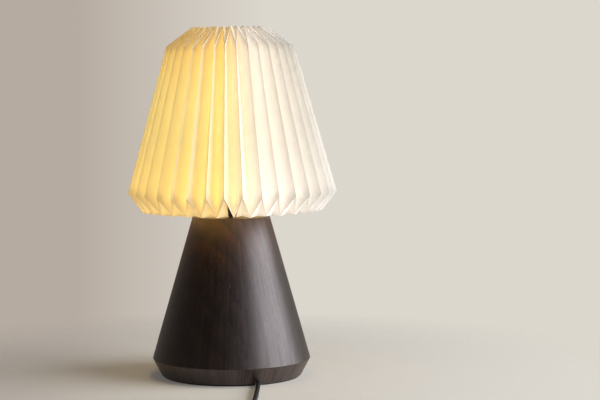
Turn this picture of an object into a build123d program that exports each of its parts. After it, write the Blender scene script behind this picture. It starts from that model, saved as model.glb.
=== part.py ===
from build123d import *
import math
import os

import numpy as np

# A pleated paper table lamp on a turned wooden cone. Millimetres, +Z up, the lamp's axis on Z, the surface
# that it stands on at z = 0, and -Y towards the viewer. Angles are in degrees, from +X towards +Y.

# --- turned base ---------------------------------------------------------------------------------------
BASE_BOTTOM_R = 84.3
BASE_WIDEST_R = 94.8
BASE_WIDEST_Z = 21.4
BASE_TOP_R = 46.2
BASE_TOP_Z = 192.0
FELT_T = 1.5
FELT_R = 82.4
FOOT_INNER_R = 62.0  # the underside is hollowed out inside this ring
HOLLOW_Z = 14.0
POCKET_R = 31.0  # deeper pocket round the threaded tube
POCKET_Z = 46.0
TOP_SINK_R = 12.0  # the top nut is sunk into the wood
TOP_SINK_Z = 186.0

# --- threaded tube and its nuts ------------------------------------------------------------------------
TUBE_R = 5.0
TUBE_BORE_R = 4.0
TUBE_LOW_Z = 36.0
TUBE_TOP_Z = 214.0
TUBE_HOLE_R = 5.3
WASHER_T = 1.5
NUT_T = 4.0
LOWER_WASHER_R = 15.0
TOP_WASHER_R = 11.0
LOWER_NUT_AF = 17.0
TOP_NUT_AF = 15.0

# --- cord ----------------------------------------------------------------------------------------------
CORD_D = 5.4
CORD_R = CORD_D / 2
FLOOR_Z = CORD_R  # height of the centre of a cord that lies on the table
EXIT_X = 34.0
NOTCH_R = 3.3
HELD_Z = 11.2  # height of the cord under its clamp
LEAD_BEND_R = 24.0
LEAD_SMALL_R = 22.0
SHEATH_END_Z = 213.0
CORE_R = 1.1
CORE_X = 1.5
CLAMP_W = 8.0
CLAMP_T = 1.2
CLAMP_GAP = 0.05
SCREW_R = 1.6
SCREW_HEAD_R = 3.0

# --- lampholder ----------------------------------------------------------------------------------------
HOLDER_LOW_Z = 204.0
HOLDER_NECK_R = 8.0
HOLDER_R = 20.0
HOLDER_CAP_TOP_Z = 226.0
HOLDER_FLANGE_R = 22.5
HUB_LOW_Z = 238.5  # the shade carrier's hub lies on the holder's flange
HUB_T = 1.5
HUB_R = 31.0
HOLDER_THREAD_R = 19.7
HOLDER_TOP_Z = 262.0
HOLDER_BORE_R = 17.6
HOLDER_LIP_R = 15.4
RING_NUT_R = 27.0
RING_NUT_H = 10.0
PUCK_LOW_Z = 228.0
PUCK_TOP_Z = 236.0
SHELL_R = 13.95
SHELL_T = 0.45
SHELL_TOP_Z = 258.0

# --- bulb, 60 mm globe on a 27 mm screw cap --------------------------------------------------------------
BULB_R = 30.0
BULB_CENTRE_Z = 314.0
GLASS_T = 1.2
BULB_CAP_R = 13.1
BULB_CAP_LOW_Z = 240.2
BULB_CAP_TOP_Z = 264.0
BULB_TIP_Z = 236.8
BULB_TIP_R = 4.8
BULB_TIP_T = 1.2
BULB_EYE_R = 6.5  # the black glass round the tip
BULB_EYE_T = 3.0
BULB_PITCH = 3.63
BULB_THREAD_DEPTH = 0.8
BULB_THREAD_TURNS = 4
COLLAR_LOW_R = 14.2
COLLAR_TOP_Z = 287.0
COLLAR_TOP_R = 21.0
GLOBE_NECK_R = 25.7  # the globe's neck where it meets the ball
GLOBE_NECK_Z = 300.0

# --- shade: one pleated strip of paper -------------------------------------------------------------------
PLEATS = 36
FIRST_TIP_DEG = 3.0  # the front tip stands this far to the right of the middle
PAPER_T = 0.45
RIDGE_LOW = (125.0, 221.5)  # outer fold line, lower and upper end, as (radius, height)
RIDGE_HIGH = (76.5, 395.1)
TIP_LOW = (107.6, 198.4)  # inner fold line, lower and upper end, on the two hems
TIP_HIGH = (44.7, 418.0)
TUCK_LOW = (103.0, 199.5)  # where an outer fold's line ends between two tips, its hem folded in
TUCK_HIGH = (42.5, 414.5)
LEAN_DEG = 0.75  # the shade leans a little to the left
LEAN_PIVOT_Z = 328.0

# --- shade carrier ---------------------------------------------------------------------------------------
WIRE_R = 1.5
LEG_FOOT_R = 28.0
LEG_OUT_R = 44.0
LEG_TOP = (43.8, 389.2)
LEG_ANGLES = (90.0, 210.0, 330.0)
LEG_BEND_R = 8.0
SEAT_Z = 384.6
SEAT_END_R = 51.0
NECK_RING_R = 50.3
NECK_RING_Z = 388.25

# --- in-line switch, on the cord in front of the lamp ----------------------------------------------------
SWITCH_X = 31.5
SWITCH_Z = 8.0  # height of the cord where it goes through
SWITCH_BACK_Y = -276.0
SWITCH_L = 56.0
SWITCH_W = 26.0
SWITCH_H = 16.5
SWITCH_WALL = 2.0
SWITCH_PLACE = Pos(SWITCH_X, SWITCH_BACK_Y - SWITCH_L / 2, 0)
SWITCH_SCREWS = ((-7.0, 19.0), (7.0, -19.0))
RELIEF_L = 20.0
ROCKER_L = 20.0
ROCKER_W = 11.0
ROCKER_Z = 12.5
ROCKER_PIN_R = 1.25
ROCKER_GAP = 0.5
ROCKER_TILT = 7.0  # it rests tipped, with its end nearer the lamp up
ROCKER_DISH_R = 60.0  # its top is dished a little

# --- plug, flat two-pole ---------------------------------------------------------------------------------
PLUG_Y = -264.0
PLUG_Z = 7.0
PLUG_RELIEF_X = -50.0
PLUG_RELIEF_L = 25.0
PLUG_L = 35.0
PLUG_W = 34.0
PLUG_H = 13.8
PIN_R = 2.0
PIN_L = 19.0
PIN_SPREAD = 18.6

# --- coil of the put-away cord ---------------------------------------------------------------------------
COIL_X = -62.0
COIL_Y = -378.0
COIL_OUT_R = 40.5
COIL_STEP = CORD_D + 0.5  # from turn to turn and from layer to layer
COIL_TURNS = 3  # in each of its two layers
COIL_DIP = COIL_STEP / (2 * math.pi)  # the innermost half turn goes on inwards, so its line stays smooth
TIE_T = 0.6
TIE_W = 8.0
COIL_LOW_Z = FLOOR_Z + TIE_T + 0.2
COIL_IN_R = COIL_OUT_R - COIL_STEP * COIL_TURNS
COIL_HIGH_Z = COIL_LOW_Z + COIL_STEP

# --- routes of the free cord, from its exit to the plug --------------------------------------------------
FRONT_ROUTE = [
    (EXIT_X, -77.2, FLOOR_Z),
    (EXIT_X, -118.0, FLOOR_Z),
    (33.2, -163.0, FLOOR_Z),
    (32.0, -200.0, FLOOR_Z),
    (SWITCH_X, -230.0, SWITCH_Z),
    (SWITCH_X, SWITCH_BACK_Y + RELIEF_L, SWITCH_Z),
]
SIDE_ROUTE = [
    (SWITCH_X, SWITCH_BACK_Y - SWITCH_L - RELIEF_L, SWITCH_Z),
    (SWITCH_X, -379.0, SWITCH_Z),
    (12.0, -405.0, COIL_LOW_Z),
    (-26.0, COIL_Y - COIL_OUT_R, COIL_LOW_Z),
    (COIL_X, COIL_Y - COIL_OUT_R, COIL_LOW_Z),
]
TAIL_ROUTE = [
    (COIL_X, COIL_Y + COIL_OUT_R, COIL_HIGH_Z),
    (-38.0, COIL_Y + COIL_OUT_R, COIL_HIGH_Z),
    (-8.0, -332.0, FLOOR_Z),
    (10.0, -304.0, FLOOR_Z),
    (2.0, -276.0, 4.0),
    (-23.0, PLUG_Y, PLUG_Z),
    (PLUG_RELIEF_X, PLUG_Y, PLUG_Z),
]

parts = {}


def keep(name, *solids):
    """Remember one sub-part, of one or more solids, under its name."""
    shapes = [solid for shape in solids for solid in shape.solids()]
    parts[name] = shapes[0] if len(shapes) == 1 else Compound(children=shapes)
    parts[name].label = name


def turned(points, rounds=()):
    """A solid turned about Z from (radius, height) points. rounds lists (point number, radius) pairs."""
    outline = make_face(Polyline(*points, close=True))
    for number, radius in rounds:
        corner = outline.vertices().sort_by_distance(points[number])[0]
        outline = fillet(corner, radius)
    return revolve(Plane.XZ * outline, Axis.Z, 360)


def ring(outer, inner, low, high):
    """A plain ring, or a disc where inner is 0."""
    face = Circle(outer) - Circle(inner) if inner else Circle(outer)
    return Pos(0, 0, low) * extrude(face, high - low)


def hex_nut(across_flats, bore, low, thickness):
    face = RegularPolygon(across_flats / 2, 6, major_radius=False) - Circle(bore)
    return Pos(0, 0, low) * extrude(face, thickness)


def polar(radius, angle, z):
    turn = math.radians(angle)
    return Vector(radius * math.cos(turn), radius * math.sin(turn), z)


def corner_radii(route):
    """The largest tangent arcs that a cord's route leaves room for, one for each corner."""
    points = [Vector(*p) for p in route]
    radii = []
    for before, here, after in zip(points, points[1:], points[2:]):
        turn = math.radians((here - before).get_angle(after - here))
        shorter = min((here - before).length, (after - here).length)
        radii.append(0.45 * shorter / math.tan(turn / 2))
    return radii


def tube(path, radius, bore=0.0):
    """A round tube or rod along a path."""
    section = Circle(radius) - Circle(bore) if bore else Circle(radius)
    return sweep(Plane(path @ 0, z_dir=path % 0) * section, path)


def free_cord(name, route):
    """One stretch of the cord that lies free, with its arcs printed."""
    radii = corner_radii(route)
    path = FilletPolyline(*route, radius=radii)
    solid = tube(path, CORD_R)
    wanted = math.pi * CORD_R**2 * path.length
    print(f"{name}: {path.length:.1f} long, radii {[round(r) for r in radii]}, "
          f"volume {solid.volume / wanted:.4f} of section times length")
    keep(name, solid)
    return path.length


# --- base ------------------------------------------------------------------------------------------------
def wooden_base():
    profile = [
        (FOOT_INNER_R, FELT_T),
        (BASE_BOTTOM_R, FELT_T),
        (BASE_WIDEST_R, BASE_WIDEST_Z),
        (BASE_TOP_R, BASE_TOP_Z),
        (TOP_SINK_R, BASE_TOP_Z),
        (TOP_SINK_R, TOP_SINK_Z),
        (TUBE_HOLE_R, TOP_SINK_Z),
        (TUBE_HOLE_R, POCKET_Z),
        (POCKET_R, POCKET_Z),
        (POCKET_R, HOLLOW_Z),
        (FOOT_INNER_R, HOLLOW_Z),
    ]
    wood = turned(profile, [(1, 1.0), (2, 1.2), (3, 1.5)])
    notch = cord_notch(FOOT_INNER_R - 18, BASE_WIDEST_R, NOTCH_R)
    keep("wooden_base", wood - notch)


def cord_notch(near, far, radius):
    """The groove in the underside that the cord leaves through: round on top, open below."""
    middle = (near + far) / 2
    depth = far - near
    arch = Pos(EXIT_X, -middle, FLOOR_Z) * Rot(90, 0, 0) * Cylinder(radius, depth)
    below = Pos(EXIT_X, -middle, FLOOR_Z / 2 - 1) * Box(2 * radius, depth, FLOOR_Z + 2)
    return arch + below


def felt_ring():
    felt = ring(FELT_R, FOOT_INNER_R, 0, FELT_T)
    keep("felt_ring", felt - cord_notch(FOOT_INNER_R - 20, BASE_WIDEST_R, NOTCH_R + 0.6))


def tube_and_nuts():
    keep("threaded_tube", ring(TUBE_R, TUBE_BORE_R, TUBE_LOW_Z, TUBE_TOP_Z))
    washer_z = POCKET_Z - WASHER_T
    keep("lower_washer", ring(LOWER_WASHER_R, TUBE_R, washer_z, POCKET_Z))
    keep("lower_nut", hex_nut(LOWER_NUT_AF, TUBE_R, washer_z - NUT_T, NUT_T))
    sink_top = TOP_SINK_Z + WASHER_T
    keep("top_washer", ring(TOP_WASHER_R, TUBE_R, TOP_SINK_Z, sink_top))
    keep("top_nut", hex_nut(TOP_NUT_AF, TUBE_R, sink_top, NUT_T))


def held_lead():
    """The length of cord that the base holds, from the notch, under the clamp and up the tube."""
    bend = Vector(26.0, -32.5, HELD_Z)
    route = [
        (EXIT_X, -77.2, FLOOR_Z),
        (EXIT_X, -47.0, FLOOR_Z),
        bend,
        (0, 0, HELD_Z),
        (0, 0, SHEATH_END_Z),
    ]
    path = FilletPolyline(*route, radius=[LEAD_SMALL_R, LEAD_SMALL_R, LEAD_BEND_R])
    keep("held_lead", tube(path, CORD_R))
    along = Vector(0, 0, HELD_Z) - bend
    middle = bend + along * (11.5 / along.length)
    heading = math.degrees(math.atan2(along.Y, along.X))
    cord_clamp(Location(middle, (0, 0, heading)))


def cord_clamp(place):
    """A strap across the cord, screwed up into the wood on both sides. Local X runs along the cord."""
    inner = CORD_R + CLAMP_GAP
    outer = inner + CLAMP_T
    ceiling = HOLLOW_Z - HELD_Z
    bridge = Rot(0, 90, 0) * (Cylinder(outer, CLAMP_W) - Cylinder(inner, CLAMP_W))
    bridge -= Pos(0, 0, outer / 2) * Box(CLAMP_W, 2 * outer, outer)
    side = Pos(0, (inner + outer) / 2, ceiling / 2) * Box(CLAMP_W, CLAMP_T, ceiling)
    ear_w = 9.0
    ear_y = outer + ear_w / 2 - 0.2
    ear = Pos(0, ear_y, ceiling - CLAMP_T / 2) * Box(CLAMP_W, ear_w, CLAMP_T)
    ear -= Pos(0, ear_y, ceiling - CLAMP_T / 2) * Cylinder(SCREW_R, CLAMP_T * 2)
    strap = bridge + side + ear + mirror(side, Plane.XZ) + mirror(ear, Plane.XZ)
    keep("cord_clamp", place * strap)
    head = Pos(0, ear_y, ceiling - CLAMP_T - 0.9) * Cylinder(SCREW_HEAD_R, 1.8)
    slot = Pos(0, ear_y, ceiling - CLAMP_T - 1.8) * Box(2 * SCREW_HEAD_R, 0.8, 1.0)
    screw = head - slot
    screw += Pos(0, ear_y, ceiling - CLAMP_T / 2) * Cylinder(SCREW_R, CLAMP_T)
    keep("clamp_screws", place * screw, place * mirror(screw, Plane.XZ))


# --- lampholder ------------------------------------------------------------------------------------------
def lampholder():
    wall = 2.2
    cap = [
        (TUBE_R, HOLDER_LOW_Z),
        (HOLDER_NECK_R, HOLDER_LOW_Z),
        (HOLDER_NECK_R, HOLDER_LOW_Z + 6),
        (HOLDER_R, HOLDER_CAP_TOP_Z - 8),
        (HOLDER_R, HOLDER_CAP_TOP_Z),
        (HOLDER_R - wall, HOLDER_CAP_TOP_Z),
        (HOLDER_R - wall, HOLDER_CAP_TOP_Z - 7),
        (TUBE_R + 1, TUBE_TOP_Z),
        (TUBE_R, TUBE_TOP_Z),
    ]
    keep("lampholder_cap", turned(cap, [(1, 1.0), (2, 3.0), (3, 4.0)]))
    skirt = [
        (HOLDER_BORE_R, HOLDER_CAP_TOP_Z),
        (HOLDER_R, HOLDER_CAP_TOP_Z),
        (HOLDER_R, HUB_LOW_Z - 3.5),
        (HOLDER_FLANGE_R, HUB_LOW_Z - 2.5),
        (HOLDER_FLANGE_R, HUB_LOW_Z),
        (HOLDER_THREAD_R, HUB_LOW_Z),
        (HOLDER_THREAD_R, HOLDER_TOP_Z),
        (HOLDER_LIP_R, HOLDER_TOP_Z),
        (HOLDER_LIP_R, HOLDER_TOP_Z - 2),
        (HOLDER_BORE_R, HOLDER_TOP_Z - 2),
    ]
    keep("lampholder_skirt", turned(skirt, [(6, 0.8)]))
    nut_low = HUB_LOW_Z + HUB_T
    nut_top = nut_low + RING_NUT_H
    nut = [
        (HOLDER_THREAD_R + 0.05, nut_low),
        (RING_NUT_R, nut_low),
        (RING_NUT_R, nut_low + 3),
        (HOLDER_THREAD_R + 3, nut_top),
        (HOLDER_THREAD_R + 0.05, nut_top),
    ]
    keep("shade_ring_nut", turned(nut, [(2, 2.0)]))


def lampholder_inside():
    screw_place = [Pos(x, 0, PUCK_TOP_Z - 1.2) for x in (-10.5, 10.5)]
    core_end = PUCK_LOW_Z + 3
    puck = ring(HOLDER_BORE_R - 0.1, 0, PUCK_LOW_Z, PUCK_TOP_Z)
    for x in (-CORE_X, CORE_X):
        puck -= Pos(x, 0, 0) * ring(CORE_R + 0.05, 0, PUCK_LOW_Z - 1, core_end)
    for place in screw_place:
        puck -= place * Cylinder(2.2, 2.4)
    keep("holder_insulator", puck)
    head = Cylinder(2.1, 2.4) - Pos(0, 0, 1.2) * Box(4.4, 0.7, 1.2)
    keep("terminal_screws", *[place * head for place in screw_place])
    base = ring(SHELL_R, SHELL_R - 1.6, PUCK_TOP_Z, PUCK_TOP_Z + 0.6)
    wall = ring(SHELL_R, SHELL_R - SHELL_T, PUCK_TOP_Z + 0.6, SHELL_TOP_Z)
    keep("screw_shell", base + wall)
    tongue = Pos(0, 0, PUCK_TOP_Z + 0.25) * Box(9.0, 5.0, 0.5)
    keep("centre_contact", fillet(tongue.edges().filter_by(Axis.Z), 1.5))
    core = ring(CORE_R, 0, SHEATH_END_Z, core_end)
    keep("cord_cores", Pos(-CORE_X, 0, 0) * core, Pos(CORE_X, 0, 0) * core)


# --- bulb ------------------------------------------------------------------------------------------------
def bulb():
    thread_low = BULB_CAP_LOW_Z + BULB_EYE_T
    root_r = BULB_CAP_R - BULB_THREAD_DEPTH
    cap = [(BULB_EYE_R, BULB_CAP_LOW_Z), (BULB_CAP_R - 1.5, BULB_CAP_LOW_Z + 1.2)]
    for turn in range(BULB_THREAD_TURNS):
        z = thread_low + turn * BULB_PITCH
        cap += [(root_r, z), (BULB_CAP_R, z + 0.35 * BULB_PITCH), (BULB_CAP_R, z + 0.65 * BULB_PITCH)]
    cap += [(root_r, thread_low + BULB_THREAD_TURNS * BULB_PITCH)]
    cap += [(BULB_CAP_R, BULB_CAP_TOP_Z), (BULB_EYE_R, BULB_CAP_TOP_Z)]
    keep("bulb_cap", turned(cap))
    eye_low = BULB_TIP_Z + BULB_TIP_T
    insulator = [
        (0, eye_low),
        (BULB_TIP_R, eye_low),
        (BULB_EYE_R, BULB_CAP_LOW_Z),
        (BULB_EYE_R, thread_low),
        (0, thread_low),
    ]
    keep("bulb_insulator", turned(insulator))
    tip = [(0, BULB_TIP_Z), (BULB_TIP_R - 1.6, BULB_TIP_Z), (BULB_TIP_R, eye_low), (0, eye_low)]
    keep("bulb_contact", turned(tip))
    collar = [
        (0, BULB_CAP_TOP_Z),
        (COLLAR_LOW_R, BULB_CAP_TOP_Z),
        (COLLAR_LOW_R + 0.6, BULB_CAP_TOP_Z + 6),
        (COLLAR_TOP_R, COLLAR_TOP_Z),
        (0, COLLAR_TOP_Z),
    ]
    keep("bulb_collar", turned(collar, [(2, 8.0)]))
    keep("bulb_globe", globe_form(0) - globe_form(GLASS_T))


def globe_form(less):
    """A ball drawn down into a neck, cut level where the collar starts, and smaller all round by less."""
    ball = Pos(0, 0, BULB_CENTRE_Z) * Sphere(BULB_R - less)
    neck = [
        (0, COLLAR_TOP_Z),
        (COLLAR_TOP_R - 0.4 - less, COLLAR_TOP_Z),
        (GLOBE_NECK_R - less, GLOBE_NECK_Z),
        (0, GLOBE_NECK_Z),
    ]
    below = Pos(0, 0, COLLAR_TOP_Z - BULB_R) * Box(3 * BULB_R, 3 * BULB_R, 2 * BULB_R)
    return ball - below + turned(neck)


# --- shade -----------------------------------------------------------------------------------------------
def lean():
    """The shade's own frame: turned a little about Y at the height of its pivot."""
    return Pos(0, 0, LEAN_PIVOT_Z) * Rot(0, -LEAN_DEG, 0) * Pos(0, 0, -LEAN_PIVOT_Z)


def shade_points():
    """The shade's corners on its outer side, by name and pleat number."""
    pitch = 360 / PLEATS
    points = {}
    for k in range(PLEATS):
        tip_angle = -90 + FIRST_TIP_DEG + k * pitch
        ridge_angle = tip_angle - pitch / 2
        for name, (radius, z), angle in (
            ("ridge_low", RIDGE_LOW, ridge_angle),
            ("ridge_high", RIDGE_HIGH, ridge_angle),
            ("tuck_low", TUCK_LOW, ridge_angle),
            ("tuck_high", TUCK_HIGH, ridge_angle),
            ("tip_low", TIP_LOW, tip_angle),
            ("tip_high", TIP_HIGH, tip_angle),
        ):
            points[name, k] = np.array(tuple(polar(radius, angle, z)))
    return points


def shade_faces():
    """The triangles of the outer side, and the free edges of the two hems, as corner names."""
    faces, hems = [], []
    for k in range(PLEATS):
        n = (k + 1) % PLEATS
        rl, rh, el, eh = (("ridge_low", k), ("ridge_high", k), ("tuck_low", k), ("tuck_high", k))
        tl, th = ("tip_low", k), ("tip_high", k)
        rl2, rh2, el2, eh2 = (("ridge_low", n), ("ridge_high", n), ("tuck_low", n), ("tuck_high", n))
        faces += [(rl, tl, th), (rl, th, rh), (tl, rl2, th), (rl2, rh2, th)]
        faces += [(tl, rl, el), (rl2, tl, el2), (rh, th, eh), (th, rh2, eh2)]
        hems += [(el, tl), (tl, el2), (th, eh), (eh2, th)]
    return faces, hems


def paper_shade():
    outer = shade_points()
    faces, hems = shade_faces()
    normals = {name: [] for name in outer}
    for face in faces:
        a, b, c = (outer[name] for name in face)
        normal = np.cross(b - a, c - a)
        for name in face:
            normals[name].append(normal / np.linalg.norm(normal))
    inner = {}
    for name, around in normals.items():
        shift = np.linalg.lstsq(np.array(around), np.full(len(around), -PAPER_T), rcond=None)[0]
        inner[name] = outer[name] + shift
    skin = [triangle(*(outer[name] for name in face)) for face in faces]
    skin += [triangle(*(inner[name] for name in reversed(face))) for face in faces]
    for a, b in hems:
        skin.append(triangle(outer[b], outer[a], inner[a]))
        skin.append(triangle(outer[b], inner[a], inner[b]))
    paper = Solid(Shell(skin))
    print("paper volume", round(paper.volume), "valid", paper.is_valid)
    keep("paper_shade", lean() * paper)


def triangle(*corners):
    return Face(Wire.make_polygon([Vector(*c) for c in corners], close=True))


def neck_ring():
    keep("neck_ring", lean() * Pos(0, 0, NECK_RING_Z) * Torus(NECK_RING_R, WIRE_R))


def shade_carrier():
    hub = ring(HUB_R, HOLDER_THREAD_R + 0.3, HUB_LOW_Z, HUB_LOW_Z + HUB_T)
    keep("carrier_hub", hub)
    wire_z = HUB_LOW_Z + HUB_T + WIRE_R
    legs = []
    for angle in LEG_ANGLES:
        path = FilletPolyline(
            (LEG_FOOT_R, 0, wire_z),
            (LEG_OUT_R, 0, wire_z),
            (LEG_TOP[0], 0, LEG_TOP[1]),
            radius=LEG_BEND_R,
        )
        seat = Line((LEG_TOP[0], 0, SEAT_Z), (SEAT_END_R, 0, SEAT_Z))
        legs.append(Rot(0, 0, angle) * (tube(path, WIRE_R) + tube(seat, WIRE_R)))
    keep("carrier_legs", *legs)


# --- in-line switch --------------------------------------------------------------------------------------
def switch_shells():
    """Two hollow halves that meet at the height of the cord, with a window and bearing cheeks above."""
    half = SWITCH_H / 2
    blank = Pos(0, 0, half) * Box(SWITCH_W, SWITCH_L, SWITCH_H)
    blank = fillet(blank.edges().filter_by(Axis.Z), 7.0)
    blank = fillet(blank.faces().sort_by(Axis.Z)[-1].edges(), 2.5)
    blank = fillet(blank.faces().sort_by(Axis.Z)[0].edges(), 1.5)
    thick = 2 * SWITCH_WALL
    room = Pos(0, 0, half) * Box(SWITCH_W - thick, SWITCH_L - thick, SWITCH_H - thick)
    hollow = blank - fillet(room.edges().filter_by(Axis.Z), 5.0)
    window = Box(ROCKER_W + 2 * ROCKER_GAP, ROCKER_L + 2 * ROCKER_GAP, SWITCH_H)
    hollow -= Pos(0, 0, SWITCH_H) * window
    cheek_low, cheek_high = ROCKER_Z - 3.0, SWITCH_H - SWITCH_WALL
    cheek = Box(2.5, 7.0, cheek_high - cheek_low)
    for side in (-1, 1):
        cheek_x = side * (ROCKER_W / 2 + ROCKER_GAP + 1.25)
        hollow += Pos(cheek_x, 0, (cheek_low + cheek_high) / 2) * cheek
    hollow -= Pos(0, 0, ROCKER_Z) * Rot(0, 90, 0) * Cylinder(ROCKER_PIN_R, SWITCH_W - 8)
    lower_half = Pos(0, 0, SWITCH_Z / 2) * Box(2 * SWITCH_W, 2 * SWITCH_L, SWITCH_Z)
    lower = hollow & lower_half
    screws = []
    for x, y in SWITCH_SCREWS:
        lower += Pos(x, y, (SWITCH_Z + SWITCH_WALL) / 2) * Cylinder(4.2, SWITCH_Z - SWITCH_WALL)
        lower -= Pos(x, y, SWITCH_Z / 2) * Cylinder(SCREW_R, SWITCH_Z)
        lower -= Pos(x, y, 0.8) * Cylinder(SCREW_HEAD_R, 1.6)
        screws.append(Pos(x, y, 0) * switch_screw())
    keep("switch_lower", SWITCH_PLACE * lower)
    keep("switch_upper", SWITCH_PLACE * (hollow - lower_half))
    keep("switch_screws", *[SWITCH_PLACE * screw for screw in screws])


def switch_screw():
    head = Pos(0, 0, 0.9) * Cylinder(SCREW_HEAD_R - 0.1, 1.4)
    head -= Pos(0, 0, 0.3) * Box(2 * SCREW_HEAD_R, 0.8, 0.8)
    return head + Pos(0, 0, (SWITCH_Z + 1.6) / 2) * Cylinder(SCREW_R, SWITCH_Z - 1.6)


def switch_works():
    across = Pos(0, 0, ROCKER_Z) * Rot(0, 90, 0)
    low, high = ROCKER_Z - 2.5, SWITCH_H + 1.6
    block = Pos(0, 0, (low + high) / 2) * Box(ROCKER_W, ROCKER_L, high - low)
    block -= Pos(0, 0, SWITCH_H + ROCKER_DISH_R - 0.2) * Rot(0, 90, 0) * Cylinder(ROCKER_DISH_R, 2 * ROCKER_W)
    block &= across * Cylinder(ROCKER_L / 2, ROCKER_W)
    block -= across * Cylinder(ROCKER_PIN_R + 0.05, 2 * ROCKER_W)
    tipped = Pos(0, 0, ROCKER_Z) * Rot(ROCKER_TILT, 0, 0) * Pos(0, 0, -ROCKER_Z)
    keep("rocker", SWITCH_PLACE * tipped * block)
    keep("rocker_pin", SWITCH_PLACE * across * Cylinder(ROCKER_PIN_R, SWITCH_W - 8))
    strip = Box(3.0, 16.0, 4.0)
    strips = [Pos(x, y, SWITCH_WALL + 2) * strip for x, y in ((-7.5, -8.0), (7.5, 8.0))]
    keep("switch_contacts", *[SWITCH_PLACE * made for made in strips])
    half = SWITCH_L / 2
    ends = [Location((0, -half, SWITCH_Z), (90, 0, 0)), Location((0, half, SWITCH_Z), (-90, 0, 0))]
    keep("switch_reliefs", *[SWITCH_PLACE * tapered_relief(end, RELIEF_L) for end in ends])


def tapered_relief(place, length):
    """A ribbed, tapered piece moulded onto the cord's end. Local Z runs out along the cord."""
    root_r, end_r, ribs = CORD_R + 2.6, CORD_R + 0.9, 5
    gap = length / (ribs + 0.5)
    outline = [(0.0, 0.0), (root_r, 0.0)]
    for rib in range(ribs):
        z = (rib + 0.55) * gap
        r = root_r + (end_r - root_r) * z / length
        outline += [(r, z), (r - 0.8, z + 0.05 * gap), (r - 0.8, z + 0.4 * gap), (r, z + 0.45 * gap)]
    outline += [(end_r, length), (0.0, length)]
    return place * turned(outline)


# --- plug ------------------------------------------------------------------------------------------------
def plug():
    face_x = PLUG_RELIEF_X - PLUG_RELIEF_L - PLUG_L
    relief_place = Location((PLUG_RELIEF_X - PLUG_RELIEF_L, PLUG_Y, PLUG_Z), (0, 90, 0))
    keep("plug_relief", tapered_relief(relief_place, PLUG_RELIEF_L))
    back_w = 15.0
    wide = PLUG_W / 2
    outline = Polyline(
        (face_x, -wide),
        (face_x + 16, -wide),
        (face_x + PLUG_L, -back_w / 2),
        (face_x + PLUG_L, back_w / 2),
        (face_x + 16, wide),
        (face_x, wide),
        close=True,
    )
    flat = make_face(outline)
    flat = fillet(flat.vertices(), 3.0)
    body = Pos(0, PLUG_Y, PLUG_Z - PLUG_H / 2) * extrude(flat, PLUG_H)
    body = fillet(body.faces().sort_by(Axis.Z)[-1].edges(), 2.0)
    body = fillet(body.faces().sort_by(Axis.Z)[0].edges(), 2.0)
    keep("plug_body", body)
    pins = []
    for side in (-1, 1):
        pin = Cylinder(PIN_R, PIN_L)
        pin = fillet(pin.faces().sort_by(Axis.Z)[-1].edges(), 1.2)
        place = Location((face_x - PIN_L / 2, PLUG_Y + side * PIN_SPREAD / 2, PLUG_Z), (0, -90, 0))
        pins.append(place * pin)
    keep("plug_pins", *pins)


# --- coil ------------------------------------------------------------------------------------------------
def coil_point(turns):
    """The coil's line after a number of turns: in along the lower layer, up, and out along the upper one."""
    if turns <= COIL_TURNS:
        radius, z = COIL_OUT_R - COIL_STEP * turns, COIL_LOW_Z
    elif turns <= COIL_TURNS + 0.5:
        share = 2 * (turns - COIL_TURNS)
        radius = COIL_IN_R - COIL_DIP * math.sin(math.pi * share)
        z = COIL_LOW_Z + COIL_STEP * share * share * (3 - 2 * share)
    else:
        radius, z = COIL_IN_R + COIL_STEP * (turns - COIL_TURNS - 0.5), COIL_HIGH_Z
    return Vector(COIL_X, COIL_Y, 0) + polar(radius, -90 - 360 * turns, z)


def coil_tangent(turns, whole):
    """The direction of the coil's line, level and square to the radius at its two ends."""
    if turns in (0, whole):
        return Vector(-1, 0, 0) if turns == 0 else Vector(1, 0, 0)
    small = 0.002
    return (coil_point(turns + small) - coil_point(turns - small)).normalized()


def biarc(start, start_way, end, end_way):
    """Two arcs that leave one point and reach another in the directions given."""
    gap, ways = end - start, start_way + end_way
    spare = 2 * (1 - start_way.dot(end_way))
    along = gap.dot(ways)
    reach = (-along + math.sqrt(along**2 + spare * gap.dot(gap))) / spare
    middle = (start + start_way * reach + end - end_way * reach) * 0.5
    first = TangentArc(start, middle, tangent=start_way)
    return [first, TangentArc(middle, end, tangent=first % 1)]


def cord_coil():
    whole = 2 * COIL_TURNS + 0.5
    quarters = int(4 * whole)
    arcs = []
    for quarter in range(quarters):
        near, far = quarter / 4, (quarter + 1) / 4
        arcs += biarc(coil_point(near), coil_tangent(near, whole), coil_point(far), coil_tangent(far, whole))
    path = Wire([edge for arc in arcs for edge in arc.edges()])
    solid = tube(path, CORD_R)
    wanted = math.pi * CORD_R**2 * path.length
    print(f"cord_coil: {path.length:.1f} long, volume {solid.volume / wanted:.4f}, "
          f"least gap to itself {least_gap(path):.2f}")
    keep("cord_coil", solid)
    return path.length


def least_gap(path):
    """The least clear gap between turns, measured on points half a millimetre or so apart."""
    count = int(path.length / 0.8)
    points = np.array([tuple(path @ (i / count)) for i in range(count + 1)])
    step = path.length / count
    apart = int(math.pi * COIL_IN_R * 0.8 / step)
    least = min(
        float(np.linalg.norm(points[i + apart:] - points[i], axis=1).min())
        for i in range(count - apart)
    )
    return least - CORD_D


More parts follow.
